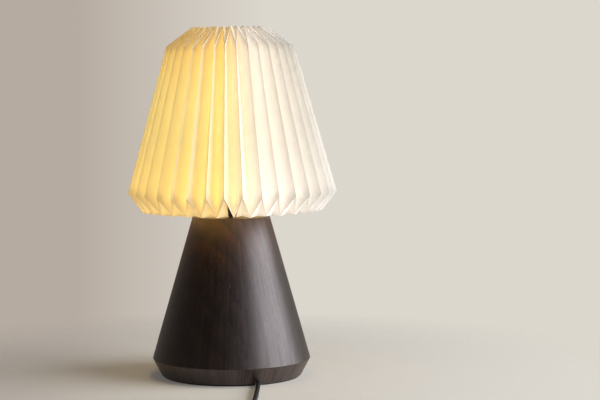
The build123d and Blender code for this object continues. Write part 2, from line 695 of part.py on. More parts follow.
def cord_tie():
    inside = COIL_IN_R - CORD_R - 1.7
    outside = COIL_OUT_R + CORD_R + 0.3
    low, high = COIL_LOW_Z - CORD_R - 0.1, COIL_HIGH_Z + CORD_R + 0.2
    wide, tall = outside - inside, high - low
    corner = 2.5
    loop = RectangleRounded(wide + 2 * TIE_T, tall + 2 * TIE_T, corner + TIE_T)
    loop -= RectangleRounded(wide, tall, corner)
    strap = extrude(Plane.XZ * loop, TIE_W / 2, both=True)
    keep("cord_tie", Pos(COIL_X - (inside + outside) / 2, COIL_Y, (low + high) / 2) * strap)


def main():
    wooden_base()
    felt_ring()
    tube_and_nuts()
    held_lead()
    lampholder()
    lampholder_inside()
    bulb()
    paper_shade()
    neck_ring()
    shade_carrier()
    switch_shells()
    switch_works()
    plug()
    cord_tie()
    length = free_cord("cord_front", FRONT_ROUTE)
    length += free_cord("cord_side", SIDE_ROUTE)
    length += cord_coil()
    length += free_cord("cord_tail", TAIL_ROUTE)
    print(f"free cord, without the {SWITCH_L + 2 * RELIEF_L:.0f} in the switch: {length:.0f}")
    os.makedirs("parts", exist_ok=True)
    for name, shape in parts.items():
        export_step(shape, f"parts/{name}.step")


main()
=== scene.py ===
import math
import random

import bmesh
import bpy
from mathutils import Matrix, Vector

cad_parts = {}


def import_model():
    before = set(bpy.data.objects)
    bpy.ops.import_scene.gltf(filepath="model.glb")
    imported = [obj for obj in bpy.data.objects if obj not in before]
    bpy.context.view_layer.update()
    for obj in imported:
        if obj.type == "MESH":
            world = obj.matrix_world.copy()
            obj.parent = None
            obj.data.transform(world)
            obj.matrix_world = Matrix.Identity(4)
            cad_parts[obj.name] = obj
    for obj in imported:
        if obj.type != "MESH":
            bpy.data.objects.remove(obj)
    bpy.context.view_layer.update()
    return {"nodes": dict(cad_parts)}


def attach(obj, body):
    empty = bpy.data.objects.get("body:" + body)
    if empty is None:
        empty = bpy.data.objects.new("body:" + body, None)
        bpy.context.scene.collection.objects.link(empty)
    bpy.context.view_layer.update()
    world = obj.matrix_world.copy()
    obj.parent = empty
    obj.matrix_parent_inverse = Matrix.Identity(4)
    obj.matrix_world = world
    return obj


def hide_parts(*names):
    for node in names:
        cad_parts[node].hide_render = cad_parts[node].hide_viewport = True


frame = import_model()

# The looks of a pleated paper table lamp, around its CAD frame. Metres, +Z up, the lamp's axis on Z, the
# surface that it stands on at z = 0, and the photograph's viewer towards -Y.

MM = 0.001
nodes = frame["nodes"]

# --- light -----------------------------------------------------------------------------------------------
BULB_CENTRE = (0.0, 0.0, 0.314)
BULB_WATTS = 0.055
BULB_LIGHT_R = 0.027
BULB_COLOUR = (1.0, 0.86, 0.44)
WINDOW_WATTS = 52.0
WINDOW_COLOUR = (0.91, 0.96, 1.0)
WINDOW_SIZE = (2.0, 1.15)
WINDOW_AZIMUTH = 78.0  # from the viewer towards the right
WINDOW_AWAY, WINDOW_UP = 1.75, 0.62
WINDOW_AIM = (0, 0, 0.24)
WINDOW_WAY = (math.sin(math.radians(WINDOW_AZIMUTH)), -math.cos(math.radians(WINDOW_AZIMUTH)), 0.0)

# --- painted glow of the paper, in its emission ----------------------------------------------------------
GLOW_OUTSIDE = 0.43  # painted glow: the paper's emission for the bulb's light through it, in the photograph's exposure
# the inner skin's painted glow
GLOW_INSIDE = 0.50
PAPER_THROUGH = 0.24  # share of the light that comes through the paper
WINDOW_DIMS = 0.55  # the share of its painted glow that the paper loses where it faces the window squarely
DAY_STARTS = 0.15  # how squarely it faces the window where its painted glow starts to whiten, as painted daylight
DAY_GROWS = 0.40  # and over how much more it whitens
GLOW_LEVEL = 0.88
GLOW_FACING = 0.08  # more beside the bulb
GLOW_LOW, GLOW_LOW_REACH = 0.7, 0.12  # so much more at so many metres under the bulb's centre
GLOW_SHADED = 0.08  # more on the side away from the window

# --- wood ------------------------------------------------------------------------------------------------
PITH_SHIFT = (-0.068, -0.085, 0.0)  # less the place of the pith, which is behind the axis and to its right
PITH_TILT_DEG = (3, -4)
RINGS_PER_METRE = 105.0
LINES_PER_RING = 7
RING_SHARE, LINE_SHARE = 0.72, 0.28
RING_DRIFT = 0.020
CHAMFER_TOP = 0.0214
CHAMFER_BLUR = 0.0006
PAINTED_GLOW_HEIGHTS = (0.12, 0.185)  # heights between which the painted glow of the shade's light reddens the wood
WOOD_DARK, WOOD_PALE = (0.0050, 0.0022, 0.0014), (0.040, 0.0180, 0.0105)
WOOD_BAND = (0.0060, 0.0028, 0.0019)
WOOD_LATE = (0.0042, 0.0020, 0.0014)
# the reddish brown painted on the wood's top for the shade's light that falls there
WOOD_PAINTED_GLOW = (0.125, 0.042, 0.0140)
WOOD_PORE = (0.0035, 0.0020, 0.0016)
WOOD_END_GRAIN = (0.090, 0.060, 0.049)
WOOD_STREAK = (0.075, 0.046, 0.034)

# --- camera of the photograph ----------------------------------------------------------------------------
CAMERA_AT = (0.0825, -2.0316, 0.3577)
CAMERA_DOWN_DEG = 4.13
CAMERA_LENS = 101.83
CAMERA_SENSOR = 36.0

# --- cord ------------------------------------------------------------------------------------------------
CORD_D = 5.4 * MM
FRONT_ROUTE_MM = [
    (34.0, -77.2, 2.7),
    (34.0, -118.0, 2.7),
    (33.2, -163.0, 2.7),
    (32.0, -200.0, 2.7),
    (31.5, -230.0, 8.0),
    (31.5, -256.0, 8.0),
]
SIDE_ROUTE_MM = [
    (31.5, -352.0, 8.0),
    (31.5, -379.0, 8.0),
    (12.0, -405.0, 3.5),
    (-26.0, -418.5, 3.5),
    (-51.0, -418.5, 3.5),
]
TAIL_ROUTE_MM = [
    (-51.0, -337.5, 9.4),
    (-38.0, -337.5, 9.4),
    (-8.0, -332.0, 2.7),
    (10.0, -304.0, 2.7),
    (2.0, -276.0, 4.0),
    (-23.0, -264.0, 7.0),
    (-50.0, -264.0, 7.0),
]
COIL_CENTRE = (-0.062, -0.378)
COIL_OUT_R = 40.5 * MM
COIL_STEP = CORD_D + 0.5 * MM
COIL_TURNS = 3  # in each of its two layers
COIL_LOW_Z = 3.5 * MM
COIL_POINTS = 12  # control points of each turn
COIL_CLIMB = 0.5  # turns over which the inner end climbs to the upper layer
SWITCH_NODES = ["switch_lower", "switch_upper", "switch_screws", "switch_contacts", "switch_reliefs"]
SWITCH_NODES += ["rocker", "rocker_pin"]

# --- shade -----------------------------------------------------------------------------------------------
PLEATS = 36
FIRST_TIP_DEG = 3.0
RIDGE_LOW = (0.1250, 0.2215)  # the outer folds' lower and upper ends, as radius and height
RIDGE_HIGH = (0.0765, 0.3951)
TIP_LOW = (0.1076, 0.1984)  # the inner folds' lower and upper ends, on the two hems
TIP_HIGH = (0.0447, 0.4180)
TUCK_LOW = (0.1030, 0.1995)  # where an outer fold's line ends between two tips, its hem folded in
TUCK_HIGH = (0.0432, 0.4163)
LEAN_DEG = 0.75
LEAN_PIVOT_Z = 0.328
PAPER_T = 0.35 * MM
ACROSS = (0.0, 0.035, 0.12, 0.3, 0.5, 0.7, 0.88, 0.965, 1.0)  # rows of points from ridge to inner fold
ALONG = 14  # rows of points from the lower to the upper hem
HEM_ROWS = 4
UNEVEN_DEG = 0.55
UNEVEN_R = 0.7 * MM
UNEVEN_Z = 0.6 * MM
BOW = 0.55 * MM  # how far a face bulges
BOW_AT_HEMS = 0.35  # the share of it that is left at the hems
SEAM_SLACK = (0.85, 0.28)  # the strip's two ends meet at the front tip, where the lower hem gapes
SEAM_DEPTH = 3 * MM
SEAM_START = 0.3
LEAST_MITRE = 0.34  # keeps the inner skin from reaching too far in at the sharpest folds
CREASE_DEG = 40
SMOOTH_DEG = 24
INSIDE_MATERIAL = 1

# --- room ------------------------------------------------------------------------------------------------
FLOOR_R = 2.6
FLOOR_Z = -0.0002
FLOOR_FADE = (0.15, 0.55)
FLOOR_COLOUR = (0.90, 0.84, 0.77)
FLOOR_GLOW = 0.10  # seen by the camera and in reflections only, so it casts no diffuse light
# the backdrop's colours: darker on the left, painted shade of a room lit from the right
WALL_LEFT = (0.470, 0.408, 0.355)
WALL_RIGHT = (0.715, 0.680, 0.610)
WALL_BLEND = (-0.13, -0.02)
AMBIENT = 0.06
AMBIENT_TINT = (1.0, 0.97, 0.93)


# --- nodes -----------------------------------------------------------------------------------------------
def new_look(name):
    """An empty node material and its tree."""
    made = bpy.data.materials.new(name)
    made.use_nodes = True
    made.node_tree.nodes.clear()
    return made, made.node_tree


def node(tree, kind, sockets=None, **settings):
    """A node with its settings, and its inputs set to values or joined to other nodes' outputs."""
    made = tree.nodes.new(kind)
    for key, value in settings.items():
        setattr(made, key, value)
    for socket, value in (sockets or {}).items():
        if isinstance(value, bpy.types.NodeSocket):
            tree.links.new(value, made.inputs[socket])
        else:
            made.inputs[socket].default_value = value
    return made


def rgb(colour):
    return (*colour, 1.0)


def own_place(tree):
    """The piece's own coordinates, in metres."""
    return node(tree, "ShaderNodeTexCoord").outputs["Object"]


def own_height(tree):
    return node(tree, "ShaderNodeSeparateXYZ", {0: own_place(tree)}).outputs[2]


def place(tree, scale=(1, 1, 1), shift=(0, 0, 0), turn=(0, 0, 0)):
    """The piece's own coordinates, stretched, turned and shifted."""
    return node(tree, "ShaderNodeMapping", {
        "Vector": own_place(tree), "Scale": scale, "Location": shift, "Rotation": turn,
    }).outputs[0]


def noise(tree, vector, scale, detail=3.0, rough=0.55, distortion=0.0):
    return node(tree, "ShaderNodeTexNoise", {
        "Vector": vector, "Scale": scale, "Detail": detail, "Roughness": rough, "Distortion": distortion,
    }).outputs["Fac"]


def maths(tree, kind, a, b=0.0):
    return node(tree, "ShaderNodeMath", {0: a, 1: b}, operation=kind).outputs[0]


def vectors(tree, kind, *inputs):
    return node(tree, "ShaderNodeVectorMath", dict(enumerate(inputs)), operation=kind).outputs["Vector"]


def spread(tree, value, low, high, to_low=0.0, to_high=1.0):
    """value, taken from one range to another and kept inside it."""
    return node(tree, "ShaderNodeMapRange", {0: value, 1: low, 2: high, 3: to_low, 4: to_high}).outputs[0]


def blend(tree, share, a, b):
    """Two colours mixed."""
    made = node(tree, "ShaderNodeMix", data_type="RGBA")
    for socket, value in ((0, share), (6, a), (7, b)):
        if isinstance(value, bpy.types.NodeSocket):
            tree.links.new(value, made.inputs[socket])
        else:
            made.inputs[socket].default_value = value if socket == 0 else rgb(value)
    return made.outputs[2]


def bump(tree, height, distance, strength=1.0, under=None):
    sockets = {"Height": height, "Distance": distance, "Strength": strength}
    if under is not None:
        sockets["Normal"] = under
    return node(tree, "ShaderNodeBump", sockets).outputs[0]


def mix_shaders(tree, share, first, second):
    return node(tree, "ShaderNodeMixShader", {0: share, 1: first.outputs[0], 2: second.outputs[0]})


def without_shadow(tree, shader):
    """The shader, but clear to the rays that look for a light."""
    clear = node(tree, "ShaderNodeBsdfTransparent")
    return mix_shaders(tree, node(tree, "ShaderNodeLightPath").outputs["Is Shadow Ray"], shader, clear)


def principled(tree, sockets):
    return node(tree, "ShaderNodeBsdfPrincipled", sockets)


def output(tree, shader):
    node(tree, "ShaderNodeOutputMaterial", {"Surface": shader.outputs[0]})


def attribute(tree, name):
    return node(tree, "ShaderNodeAttribute", attribute_name=name).outputs["Fac"]


def link(made):
    """Puts an object into the scene."""
    bpy.context.scene.collection.objects.link(made)
    return made


# --- looks -----------------------------------------------------------------------------------------------
def moulded(name, colour, rough=0.42, grain=1.0, grain_mm=0.5):
    """Moulded plastic or rubber: an even colour, faint flow clouds, a fine texture and uneven gloss."""
    made, tree = new_look(name)
    at = place(tree)
    clouds = noise(tree, at, 60.0, 2.0)
    fine = noise(tree, at, 1.0 / (grain_mm * MM), 2.0, 0.6)
    smears = noise(tree, place(tree, (1, 1, 2.2)), 34.0, 4.0, 0.65)
    lighter = tuple(min(1.0, c * 1.45 + 0.004) for c in colour)
    base = blend(tree, spread(tree, clouds, 0.35, 0.7), colour, lighter)
    gloss = spread(tree, smears, 0.35, 0.7, rough - 0.06, rough + 0.06)
    output(tree, principled(tree, {
        "Base Color": base, "Roughness": gloss, "Normal": bump(tree, fine, 0.00003 * grain),
    }))
    return made


def metal(name, colour, rough, brushed=0.0, dark=0.55):
    """Plated or plain metal: a drawn or tumbled grain, with duller patches."""
    made, tree = new_look(name)
    at = place(tree)
    patches = noise(tree, at, 140.0, 4.0, 0.6)
    grain = noise(tree, place(tree, (1, 1, 0.06 if brushed else 1)), 2600.0, 2.0, 0.6)
    duller = tuple(c * dark for c in colour)
    base = blend(tree, spread(tree, patches, 0.52, 0.78, 0.0, 0.36), colour, duller)
    gloss = spread(tree, patches, 0.3, 0.75, rough, rough + 0.12)
    output(tree, principled(tree, {
        "Base Color": base, "Roughness": gloss, "Metallic": 1.0,
        "Normal": bump(tree, grain, 0.00002 + 0.00002 * brushed),
    }))
    return made


def threaded_metal():
    """The blackened tube with its rolled thread."""
    made, tree = new_look("blackened_thread")
    at = place(tree)
    pitch = 1.0 * MM
    wave = node(tree, "ShaderNodeTexWave", {"Vector": at, "Scale": 0.314 / pitch, "Distortion": 0.0},
                wave_type="BANDS", bands_direction="Z", wave_profile="TRI").outputs["Fac"]
    wear = spread(tree, noise(tree, at, 700.0, 3.0), 0.5, 0.75)
    base = blend(tree, wear, (0.02, 0.02, 0.021), (0.07, 0.066, 0.06))
    output(tree, principled(tree, {
        "Base Color": base, "Metallic": 0.6, "Roughness": 0.42, "Normal": bump(tree, wave, 0.0004),
    }))
    return made


def round_the_axis(tree, radius, upwards):
    """Coordinates that follow the turned surface, so that streaks run up its slope unbroken."""
    own = own_place(tree)
    unit = vectors(tree, "NORMALIZE", vectors(tree, "MULTIPLY", own, (1, 1, 0)))
    up = vectors(tree, "MULTIPLY", own, (0, 0, upwards))
    return vectors(tree, "ADD", vectors(tree, "MULTIPLY", unit, (radius,) * 3), up)


def stained_wood():
    """Dark stained wood, semi-gloss: rings round a far pith, streaks and pores along the grain, and a
    painted glow that reddens its top.
    """
    made, tree = new_look("stained_wood")
    drift = noise(tree, place(tree, (1, 1, 0.3)), 16.0, 2.0, 0.4)
    tilt = (*(math.radians(v) for v in PITH_TILT_DEG), 0)
    parts = node(tree, "ShaderNodeSeparateXYZ", {0: place(tree, (1, 1, 0.06), PITH_SHIFT, tilt)})
    across = maths(tree, "POWER", parts.outputs[0], 2.0)
    deep = maths(tree, "POWER", parts.outputs[1], 2.0)
    radius = maths(tree, "SQRT", maths(tree, "ADD", across, deep))
    warped = maths(tree, "ADD", radius, maths(tree, "MULTIPLY", drift, RING_DRIFT))
    ring = maths(tree, "FRACT", maths(tree, "MULTIPLY", warped, RINGS_PER_METRE))
    late = maths(tree, "MULTIPLY", spread(tree, ring, 0.1, 0.85), spread(tree, ring, 1.0, 0.85))
    lines = maths(tree, "FRACT", maths(tree, "MULTIPLY", warped, LINES_PER_RING * RINGS_PER_METRE))
    late = maths(tree, "MULTIPLY", late, RING_SHARE)
    late = maths(tree, "ADD", late, maths(tree, "MULTIPLY", lines, LINE_SHARE))
    streaks = noise(tree, round_the_axis(tree, 0.06, 0.035), 560.0, 3.0, 0.7)
    bands = noise(tree, place(tree, (1, 1, 0.05)), 170.0, 2.0, 0.6)
    pores = spread(tree, noise(tree, place(tree, (1, 1, 0.03)), 2100.0, 1.0, 0.5), 0.60, 0.70)
    height = own_height(tree)
    early = maths(tree, "SUBTRACT", 1.0, late)
    # Painted glow: the early wood reddens towards the top, under the shade, as if lit by it.
    upper = maths(tree, "MULTIPLY", spread(tree, height, *PAINTED_GLOW_HEIGHTS, 0.0, 0.5), early)
    low = spread(tree, height, CHAMFER_TOP - CHAMFER_BLUR, CHAMFER_TOP, 1.0, 0.0)
    cut = maths(tree, "MULTIPLY", low, spread(tree, streaks, 0.36, 0.68, 0.05, 0.75))
    bright = spread(tree, noise(tree, round_the_axis(tree, 0.07, 0.02), 420.0, 3.0, 0.65), 0.54, 0.72)
    base = blend(tree, spread(tree, streaks, 0.32, 0.70), WOOD_DARK, WOOD_PALE)
    for share, colour in (
        (spread(tree, bands, 0.45, 0.72, 0.0, 0.6), WOOD_BAND),
        (maths(tree, "MULTIPLY", late, 0.8), WOOD_LATE),
        (upper, WOOD_PAINTED_GLOW),
        (maths(tree, "MULTIPLY", pores, 0.7), WOOD_PORE),
        (cut, WOOD_END_GRAIN),
        (maths(tree, "MULTIPLY", bright, 0.45), WOOD_STREAK),
    ):
        base = blend(tree, share, base, colour)
    relief = maths(tree, "SUBTRACT", maths(tree, "MULTIPLY", streaks, 0.35), pores)
    output(tree, principled(tree, {
        "Base Color": base, "Roughness": spread(tree, streaks, 0.3, 0.75, 0.33, 0.50),
        "Normal": bump(tree, relief, 0.00008),
        "Specular IOR Level": 0.80, "Specular Tint": rgb((1.0, 0.88, 0.88)),
    }))
    return made


def felt():
    """Black felt: a matted nap with pale fibres."""
    made, tree = new_look("black_felt")
    at = place(tree)
    nap = noise(tree, at, 900.0, 5.0, 0.75)
    fibres = noise(tree, place(tree, (1, 6, 1)), 1100.0, 4.0, 0.7, 2.0)
    base = blend(tree, spread(tree, fibres, 0.55, 0.8), (0.012, 0.012, 0.012), (0.055, 0.053, 0.05))
    output(tree, principled(tree, {
        "Base Color": base, "Roughness": 0.95, "Normal": bump(tree, nap, 0.0004),
        "Sheen Weight": 0.35, "Sheen Roughness": 0.5,
    }))
    return made


def glowing_glass():
    """The bulb's opal glass, lit from inside: warmer towards its neck, and clear to shadow rays."""
    made, tree = new_look("opal_glass_lit")
    up = spread(tree, own_height(tree), 0.286, 0.330)
    cloud = noise(tree, place(tree), 60.0, 2.0)
    warm = blend(tree, up, (1.0, 0.62, 0.28), (1.0, 0.86, 0.60))
    warm = blend(tree, spread(tree, cloud, 0.4, 0.7, 0.0, 0.25), warm, (1.0, 0.93, 0.76))
    output(tree, without_shadow(tree, principled(tree, {
        "Base Color": rgb((0.92, 0.88, 0.80)), "Roughness": 0.22,
        "Emission Color": warm, "Emission Strength": 1.15,
    })))
    return made


def shade_paper(name, inside):
    """Matt lampshade paper: fibres and clouds, light that comes through it, and the bulb's glow painted on
    as emission.

    The inner skin is clear to shadow rays, so that the sheet's two skins don't dim the bulb twice.
    """
    made, tree = new_look(name)
    at = place(tree)
    clouds = noise(tree, at, 120.0, 4.0, 0.6)
    fibres = noise(tree, place(tree, (1, 1, 0.35)), 1400.0, 3.0, 0.6)
    crease = attribute(tree, "crease")
    white = blend(tree, spread(tree, clouds, 0.3, 0.7), (0.83, 0.825, 0.805), (0.86, 0.855, 0.84))
    white = blend(tree, spread(tree, fibres, 0.45, 0.8, 0.0, 0.25), white, (0.86, 0.84, 0.79))
    through = blend(tree, spread(tree, clouds, 0.3, 0.7), (0.86, 0.74, 0.50), (0.93, 0.83, 0.62))
    # Painted shade along the folds: the light through the paper and the painted glow are darker there.
    through = blend(tree, maths(tree, "MULTIPLY", crease, 0.5), through, (0.62, 0.50, 0.33))
    warm = blend(tree, attribute(tree, "near"), (0.90, 0.54, 0.13), (0.92, 0.71, 0.23))
    warm = blend(tree, maths(tree, "MULTIPLY", crease, 0.6), warm, (0.78, 0.52, 0.20))
    # Painted daylight: the glow's colour whitens where the paper faces the window.
    warm = blend(tree, attribute(tree, "day"), warm, (0.93, 0.86, 0.82))
    mottle = spread(tree, clouds, 0.3, 0.7, 0.94, 1.05)
    # painted shade of the folds on the glow's strength
    fold_shade = maths(tree, "SUBTRACT", 1.0, maths(tree, "MULTIPLY", crease, 0.35))
    shining = maths(tree, "MULTIPLY", maths(tree, "MULTIPLY", mottle, fold_shade), attribute(tree, "glow"))
    normal = bump(tree, fibres, 0.00004, 0.6, bump(tree, clouds, 0.00025, 0.5))
    front = principled(tree, {
        "Base Color": white, "Roughness": 0.85, "Specular IOR Level": 0.25, "Normal": normal,
        "Emission Color": warm,
        "Emission Strength": maths(tree, "MULTIPLY", shining, GLOW_INSIDE if inside else GLOW_OUTSIDE),
    })
    behind = node(tree, "ShaderNodeBsdfTranslucent", {"Color": through, "Normal": normal})
    sheet = mix_shaders(tree, PAPER_THROUGH, front, behind)
    output(tree, without_shadow(tree, sheet) if inside else sheet)
    return made


def cord_sheath():
    """The cord's smooth black sheath, with faint scuffs."""
    made, tree = new_look("cord_sheath")
    at = place(tree)
    scuffs = noise(tree, at, 420.0, 4.0, 0.7)
    waves = noise(tree, at, 90.0, 2.0)
    base = blend(tree, spread(tree, scuffs, 0.5, 0.8), (0.014, 0.014, 0.016), (0.040, 0.040, 0.043))
    output(tree, principled(tree, {
        "Base Color": base, "Roughness": spread(tree, scuffs, 0.3, 0.7, 0.34, 0.5),
        "Normal": bump(tree, waves, 0.00018, 1.0, bump(tree, scuffs, 0.00002)),
    }))
    return made


def woven_tie():
    """A flat woven strap: fine ribs along it, and a fuzzy face."""
    made, tree = new_look("woven_tie")
    at = place(tree)
    ribs = node(tree, "ShaderNodeTexWave", {"Vector": at, "Scale": 420.0, "Distortion": 1.5, "Detail": 2.0},
                wave_type="BANDS", bands_direction="Y").outputs["Fac"]
    fuzz = noise(tree, at, 2200.0, 3.0, 0.7)
    base = blend(tree, ribs, (0.014, 0.014, 0.015), (0.05, 0.05, 0.052))
    height = maths(tree, "ADD", ribs, maths(tree, "MULTIPLY", fuzz, 0.8))
    output(tree, principled(tree, {
        "Base Color": base, "Roughness": 0.85, "Normal": bump(tree, height, 0.00015), "Sheen Weight": 0.3,
    }))
    return made


LOOKS = {
    "wooden_base": stained_wood(),
    "felt_ring": felt(),
    "threaded_tube": threaded_metal(),
    "cord": cord_sheath(),
    "paper": shade_paper("shade_paper", False),
    "paper_inside": shade_paper("shade_paper_inside", True),
    "bulb_globe": glowing_glass(),
    "cord_tie": woven_tie(),
    "zinc": metal("zinc_plate", (0.62, 0.62, 0.60), 0.34),
    "screw": metal("screw_plate", (0.55, 0.55, 0.53), 0.30),
    "brass": metal("plain_brass", (0.78, 0.58, 0.27), 0.28),
    "solder": metal("tip_solder", (0.60, 0.60, 0.58), 0.42),
    "bulb_cap": metal("bulb_cap_plate", (0.78, 0.75, 0.70), 0.26, dark=0.4),
    "plug_pins": metal("pin_nickel", (0.80, 0.77, 0.72), 0.16, brushed=1.0),
    "holder": moulded("holder_moulding", (0.016, 0.016, 0.017), 0.30, 0.4),
    "porcelain": moulded("unglazed_ceramic", (0.72, 0.69, 0.63), 0.7, 1.5),
    "core": moulded("core_sheath", (0.08, 0.13, 0.36), 0.4),
    "white_wire": moulded("white_powder_coat", (0.74, 0.72, 0.68), 0.48, 3.0, 0.9),
    "black_glass": moulded("vitreous_black", (0.01, 0.01, 0.012), 0.12, 0.3),
    "bulb_white": moulded("bulb_collar_white", (0.80, 0.78, 0.73), 0.38, 0.6),
    "switch": moulded("switch_moulding", (0.020, 0.020, 0.021), 0.46, 2.6, 0.7),
    "rocker": moulded("rocker_moulding", (0.014, 0.014, 0.015), 0.22, 0.4),
    "relief": moulded("relief_rubber", (0.016, 0.016, 0.016), 0.55, 1.4),
    "plug": moulded("plug_moulding", (0.020, 0.020, 0.021), 0.44, 2.6, 0.7),
}
NODE_LOOKS = {
    "wooden_base": "wooden_base", "felt_ring": "felt_ring", "threaded_tube": "threaded_tube",
    "lower_washer": "zinc", "lower_nut": "zinc", "top_washer": "zinc", "top_nut": "zinc",
    "held_lead": "cord", "cord_clamp": "zinc", "clamp_screws": "screw", "lampholder_cap": "holder",
    "lampholder_skirt": "holder", "shade_ring_nut": "holder", "holder_insulator": "porcelain",
    "screw_shell": "brass", "centre_contact": "brass", "terminal_screws": "brass", "cord_cores": "core",
    "carrier_hub": "white_wire", "carrier_legs": "white_wire", "neck_ring": "white_wire",
    "bulb_contact": "solder", "bulb_insulator": "black_glass", "bulb_cap": "bulb_cap",
    "bulb_collar": "bulb_white", "bulb_globe": "bulb_globe", "cord_tie": "cord_tie",
    "switch_lower": "switch", "switch_upper": "switch", "switch_screws": "screw",
    "switch_contacts": "brass", "switch_reliefs": "relief", "rocker": "rocker", "rocker_pin": "zinc",
    "plug_body": "plug", "plug_pins": "plug_pins", "plug_relief": "relief",
}


def dress_nodes():
    """Gives every CAD node that stays its material."""
    for name, look in NODE_LOOKS.items():
        mesh = nodes[name].data
        mesh.materials.clear()
        mesh.materials.append(LOOKS[look])


# --- cord ------------------------------------------------------------------------------------------------
def coil_point(turns, widen):
    """The coil's line after a number of turns, as in the CAD source, pushed out to its control point."""
    inner = COIL_OUT_R - COIL_STEP * COIL_TURNS
    if turns <= COIL_TURNS:
        radius, z = COIL_OUT_R - COIL_STEP * turns, COIL_LOW_Z
    elif turns <= COIL_TURNS + COIL_CLIMB:
        share = 2 * (turns - COIL_TURNS)
        radius = inner - COIL_STEP / (2 * math.pi) * math.sin(math.pi * share)
        z = COIL_LOW_Z + COIL_STEP * share * share * (3 - 2 * share)
    else:
        radius, z = inner + COIL_STEP * (turns - COIL_TURNS - COIL_CLIMB), COIL_LOW_Z + COIL_STEP
    angle = math.radians(-90 - 360 * turns)
    radius *= widen
    return (COIL_CENTRE[0] + radius * math.cos(angle), COIL_CENTRE[1] + radius * math.sin(angle), z)


def coil_points():
    whole = 2 * COIL_TURNS + COIL_CLIMB
    widen = 1 / math.cos(math.pi / COIL_POINTS)
    count = round(whole * COIL_POINTS)
    return [coil_point((i + 0.5) / COIL_POINTS, widen) for i in range(count)]


def metres(route):
    return [tuple(v * MM for v in point) for point in route]


def cord_piece(name, points):
    """A round cord on one smooth NURBS line."""
    data = bpy.data.curves.new(name, "CURVE")
    data.dimensions = "3D"
    line = data.splines.new("NURBS")
    line.points.add(len(points) - 1)
    for point, at in zip(line.points, points):
        point.co = (*at, 1.0)
    line.order_u = 3
    line.use_endpoint_u = True
    line.resolution_u = 8
    data.bevel_depth = CORD_D / 2
    data.bevel_resolution = 6
    data.use_fill_caps = True
    data.materials.append(LOOKS["cord"])
    made = link(bpy.data.objects.new(name, data))
    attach(made, "lamp")
    return made


def cords():
    front = metres(FRONT_ROUTE_MM)
    lead = cord_piece("front_lead", front)
    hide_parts("cord_front")
    rest = metres(SIDE_ROUTE_MM) + coil_points() + metres(TAIL_ROUTE_MM)
    coil = cord_piece("coiled_lead", rest)
    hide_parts("cord_side", "cord_coil", "cord_tail")


# --- shade -----------------------------------------------------------------------------------------------
def at_angle(radius, angle, z):
    turn = math.radians(angle)
    return Vector((radius * math.cos(turn), radius * math.sin(turn), z))


def pleat_points():
    """Each pleat's corners, a little uneven, as hand-folded paper is."""
    chance = random.Random(11)
    pitch = 360 / PLEATS
    ridges, tips = [], []
    for k in range(PLEATS):
        angle = -90 + FIRST_TIP_DEG + k * pitch
        swing = chance.uniform(-1, 1) * UNEVEN_DEG
        twist = chance.uniform(-1, 1) * UNEVEN_DEG
        grow, rise = chance.uniform(-1, 1) * UNEVEN_R, chance.uniform(-1, 1) * UNEVEN_Z
        tips.append((
            at_angle(TIP_LOW[0] + grow, angle + swing + twist, TIP_LOW[1] + rise),
            at_angle(TIP_HIGH[0] + grow * 0.5, angle + swing - twist, TIP_HIGH[1] + rise * 0.7),
        ))
        swing = chance.uniform(-1, 1) * UNEVEN_DEG
        grow = chance.uniform(-1, 0.4) * UNEVEN_R
        depth = chance.uniform(-1, 1) * UNEVEN_R
        ridge_angle = angle - pitch / 2 + swing
        ridges.append((
            at_angle(RIDGE_LOW[0] + grow, ridge_angle, RIDGE_LOW[1]),
            at_angle(RIDGE_HIGH[0] + grow, ridge_angle, RIDGE_HIGH[1]),
            at_angle(TUCK_LOW[0] + depth * 1.5, ridge_angle + twist, TUCK_LOW[1] + depth),
            at_angle(TUCK_HIGH[0] + depth * 0.5, ridge_angle + twist, TUCK_HIGH[1] + depth),
        ))
    return ridges, tips


def face_patch(bm, ridge_low, ridge_high, tip_low, tip_high, bow):
    """One main face of a pleat, from its ridge to its inner fold, bulging a little. Returns its rows."""
    normal = (tip_low - ridge_low).cross(ridge_high - ridge_low).normalized()
    rows = []
    for i in range(ALONG + 1):
        up = i / ALONG
        row = []
        for u in ACROSS:
            flat = ridge_low.lerp(ridge_high, up).lerp(tip_low.lerp(tip_high, up), u)
            swell = math.sin(math.pi * u) * (BOW_AT_HEMS + (1 - BOW_AT_HEMS) * math.sin(math.pi * up)) * bow
            row.append(bm.verts.new(flat + normal * swell))
        rows.append(row)
    return rows


def quads(bm, rows, flip):
    for low, high in zip(rows, rows[1:]):
        for a, b, c, d in zip(low, low[1:], high[1:], high):
            bm.faces.new((a, d, c, b) if flip else (a, b, c, d))


def hem_patch(bm, ridge, tip, tuck, flip, slack=0.0):
    """One folded-in triangle of a hem, in rows from the crease to its free edge.

    With some slack its lower part has come away from the tip, towards the tuck and inwards.
    """
    inwards = Vector((-tip.x, -tip.y, 0)).normalized() * SEAM_DEPTH
    pull = (tuck - tip) * slack + (inwards if slack else Vector())
    rows = []
    for i in range(HEM_ROWS + 1):
        start = ridge.lerp(tuck, i / HEM_ROWS)
        rows.append([bm.verts.new(start.lerp(tip, u) + pull * max(0.0, (u - SEAM_START) / (1 - SEAM_START)))
                     for u in ACROSS])
    quads(bm, rows, flip)


def paper_skin():
    """The folded strip as one sheet without thickness."""
    bm = bmesh.new()
    ridges, tips = pleat_points()
    chance = random.Random(5)
    for k in range(PLEATS):
        ridge, tip = ridges[k], tips[k]
        after = ridges[(k + 1) % PLEATS]
        for near, flip, side, slack in ((ridge, False, 1, SEAM_SLACK[0]), (after, True, -1, SEAM_SLACK[1])):
            bow = side * BOW * chance.uniform(0.3, 1.0)
            rows = face_patch(bm, near[0], near[1], tip[0], tip[1], bow)
            quads(bm, rows, flip)
            hem_patch(bm, near[0], tip[0], near[2], not flip, slack if k == 0 else 0.0)
            hem_patch(bm, near[1], tip[1], near[3], flip)
    bmesh.ops.remove_doubles(bm, verts=bm.verts, dist=0.02 * MM)
    bmesh.ops.dissolve_degenerate(bm, edges=bm.edges, dist=0.01 * MM)
    return bm


